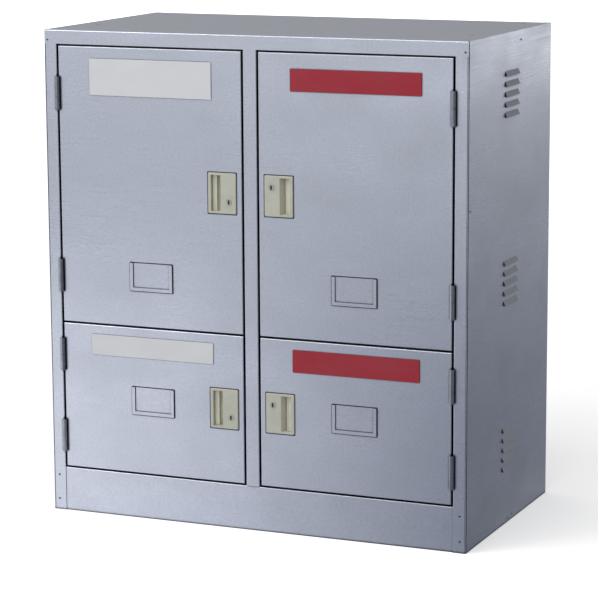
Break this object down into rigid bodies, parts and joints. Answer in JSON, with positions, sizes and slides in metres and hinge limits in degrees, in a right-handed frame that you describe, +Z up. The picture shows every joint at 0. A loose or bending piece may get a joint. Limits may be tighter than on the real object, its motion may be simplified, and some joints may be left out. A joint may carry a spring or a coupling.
{
  "type": "medicine cabinet",
  "caption": "Floor-standing stainless steel medicine cabinet with tall doors above short ones, recessed locking paddle handles, card holders, louvred sides and inner shelves.",
  "frame": {"origin": "on the floor under the middle of the carcass", "axes": "+Z up, +Y from the doors to the back, +X to the right as seen from the front"},
  "size_m": [0.809, 0.4583, 0.88],
  "materials": {
    "stainless": "satin rolled sheet",
    "hinge_steel": "satin",
    "handle_plastic": "fine moulded texture",
    "latch_steel": "zinc plated",
    "lock_metal": "polished",
    "buffer_rubber": "matt"
  },
  "bodies": {
    "carcass": {"side_panel_left": "stainless", "side_panel_right": "stainless", "front_post_left": "stainless", "front_post_right": "stainless", "back_panel": "stainless", "top_panel": "stainless", "floor_panel": "stainless", "kick_plate": "stainless", "base_brace": "stainless", "centre_post": "stainless", "centre_partition": "stainless", "divider_deck_left": "stainless", "divider_deck_right": "stainless", "shelf_strips": "stainless", "shelf_clips": "latch_steel", "shelf_left": "stainless", "shelf_right": "stainless", "hinge_frame_halves": "hinge_steel", "door_buffers": "buffer_rubber"},
    "upper_left_door": {"door_panel_upper_left": "stainless", "door_liner_upper_left": "stainless", "hinge_door_halves_upper_left": "hinge_steel", "card_holder_upper_left": "stainless", "handle_housing_upper_left": "handle_plastic", "latch_spring_upper_left": "latch_steel"},
    "upper_left_paddle": {"paddle_upper_left": "handle_plastic"},
    "upper_left_bolt": {"latch_bolt_upper_left": "latch_steel"},
    "upper_left_lock": {"lock_cylinder_upper_left": "lock_metal"},
    "upper_right_door": {"door_panel_upper_right": "stainless", "door_liner_upper_right": "stainless", "hinge_door_halves_upper_right": "hinge_steel", "card_holder_upper_right": "stainless", "handle_housing_upper_right": "handle_plastic", "latch_spring_upper_right": "latch_steel"},
    "upper_right_paddle": {"paddle_upper_right": "handle_plastic"},
    "upper_right_bolt": {"latch_bolt_upper_right": "latch_steel"},
    "upper_right_lock": {"lock_cylinder_upper_right": "lock_metal"},
    "lower_left_door": {"door_panel_lower_left": "stainless", "door_liner_lower_left": "stainless", "hinge_door_halves_lower_left": "hinge_steel", "card_holder_lower_left": "stainless", "handle_housing_lower_left": "handle_plastic", "latch_spring_lower_left": "latch_steel"},
    "lower_left_paddle": {"paddle_lower_left": "handle_plastic"},
    "lower_left_bolt": {"latch_bolt_lower_left": "latch_steel"},
    "lower_left_lock": {"lock_cylinder_lower_left": "lock_metal"},
    "lower_right_door": {"door_panel_lower_right": "stainless", "door_liner_lower_right": "stainless", "hinge_door_halves_lower_right": "hinge_steel", "card_holder_lower_right": "stainless", "handle_housing_lower_right": "handle_plastic", "latch_spring_lower_right": "latch_steel"},
    "lower_right_paddle": {"paddle_lower_right": "handle_plastic"},
    "lower_right_bolt": {"latch_bolt_lower_right": "latch_steel"},
    "lower_right_lock": {"lock_cylinder_lower_right": "lock_metal"}
  },
  "joints": [
    {"name": "upper_left_door_hinge", "type": "hinge", "parent": "carcass", "child": "upper_left_door", "pos_m": [-0.3745, -0.2288, 0.603], "axis": [0, 0, -1], "range_deg": [0, 170]},
    {"name": "upper_left_paddle_push", "type": "hinge", "parent": "upper_left_door", "child": "upper_left_paddle", "pos_m": [-0.0732, -0.22, 0.603], "axis": [0, 0, 1], "range_deg": [0, 25]},
    {"name": "upper_left_bolt_slide", "type": "slide", "parent": "upper_left_door", "child": "upper_left_bolt", "axis": [-1, 0, 0], "range_m": [0, 0.004], "stiffness_N_per_m": 150, "deforming": ["latch_spring_upper_left"]},
    {"name": "upper_left_lock_turn", "type": "hinge", "parent": "upper_left_door", "child": "upper_left_lock", "pos_m": [-0.0405, -0.227, 0.588], "axis": [0, 1, 0], "range_deg": [0, 90]},
    {"name": "upper_right_door_hinge", "type": "hinge", "parent": "carcass", "child": "upper_right_door", "pos_m": [0.3745, -0.2288, 0.603], "axis": [0, 0, 1], "range_deg": [0, 170]},
    {"name": "upper_right_paddle_push", "type": "hinge", "parent": "upper_right_door", "child": "upper_right_paddle", "pos_m": [0.0732, -0.22, 0.603], "axis": [0, 0, -1], "range_deg": [0, 25]},
    {"name": "upper_right_bolt_slide", "type": "slide", "parent": "upper_right_door", "child": "upper_right_bolt", "axis": [1, 0, 0], "range_m": [0, 0.004], "stiffness_N_per_m": 150, "deforming": ["latch_spring_upper_right"]},
    {"name": "upper_right_lock_turn", "type": "hinge", "parent": "upper_right_door", "child": "upper_right_lock", "pos_m": [0.0405, -0.227, 0.618], "axis": [0, 1, 0], "range_deg": [0, 90]},
    {"name": "lower_left_door_hinge", "type": "hinge", "parent": "carcass", "child": "lower_left_door", "pos_m": [-0.3745, -0.2288, 0.2175], "axis": [0, 0, -1], "range_deg": [0, 170]},
    {"name": "lower_left_paddle_push", "type": "hinge", "parent": "lower_left_door", "child": "lower_left_paddle", "pos_m": [-0.0732, -0.22, 0.2175], "axis": [0, 0, 1], "range_deg": [0, 25]},
    {"name": "lower_left_bolt_slide", "type": "slide", "parent": "lower_left_door", "child": "lower_left_bolt", "axis": [-1, 0, 0], "range_m": [0, 0.004], "stiffness_N_per_m": 150, "deforming": ["latch_spring_lower_left"]},
    {"name": "lower_left_lock_turn", "type": "hinge", "parent": "lower_left_door", "child": "lower_left_lock", "pos_m": [-0.0405, -0.227, 0.2025], "axis": [0, 1, 0], "range_deg": [0, 90]},
    {"name": "lower_right_door_hinge", "type": "hinge", "parent": "carcass", "child": "lower_right_door", "pos_m": [0.3745, -0.2288, 0.2175], "axis": [0, 0, 1], "range_deg": [0, 170]},
    {"name": "lower_right_paddle_push", "type": "hinge", "parent": "lower_right_door", "child": "lower_right_paddle", "pos_m": [0.0732, -0.22, 0.2175], "axis": [0, 0, -1], "range_deg": [0, 25]},
    {"name": "lower_right_bolt_slide", "type": "slide", "parent": "lower_right_door", "child": "lower_right_bolt", "axis": [1, 0, 0], "range_m": [0, 0.004], "stiffness_N_per_m": 150, "deforming": ["latch_spring_lower_right"]},
    {"name": "lower_right_lock_turn", "type": "hinge", "parent": "lower_right_door", "child": "lower_right_lock", "pos_m": [0.0405, -0.227, 0.2325], "axis": [0, 1, 0], "range_deg": [0, 90]}
  ],
  "couplings": [
    {"joint": "upper_left_paddle_push", "follows": "upper_left_bolt_slide", "rad_per_m": 109.08},
    {"joint": "upper_right_paddle_push", "follows": "upper_right_bolt_slide", "rad_per_m": 109.08},
    {"joint": "lower_left_paddle_push", "follows": "lower_left_bolt_slide", "rad_per_m": 109.08},
    {"joint": "lower_right_paddle_push", "follows": "lower_right_bolt_slide", "rad_per_m": 109.08}
  ]
}
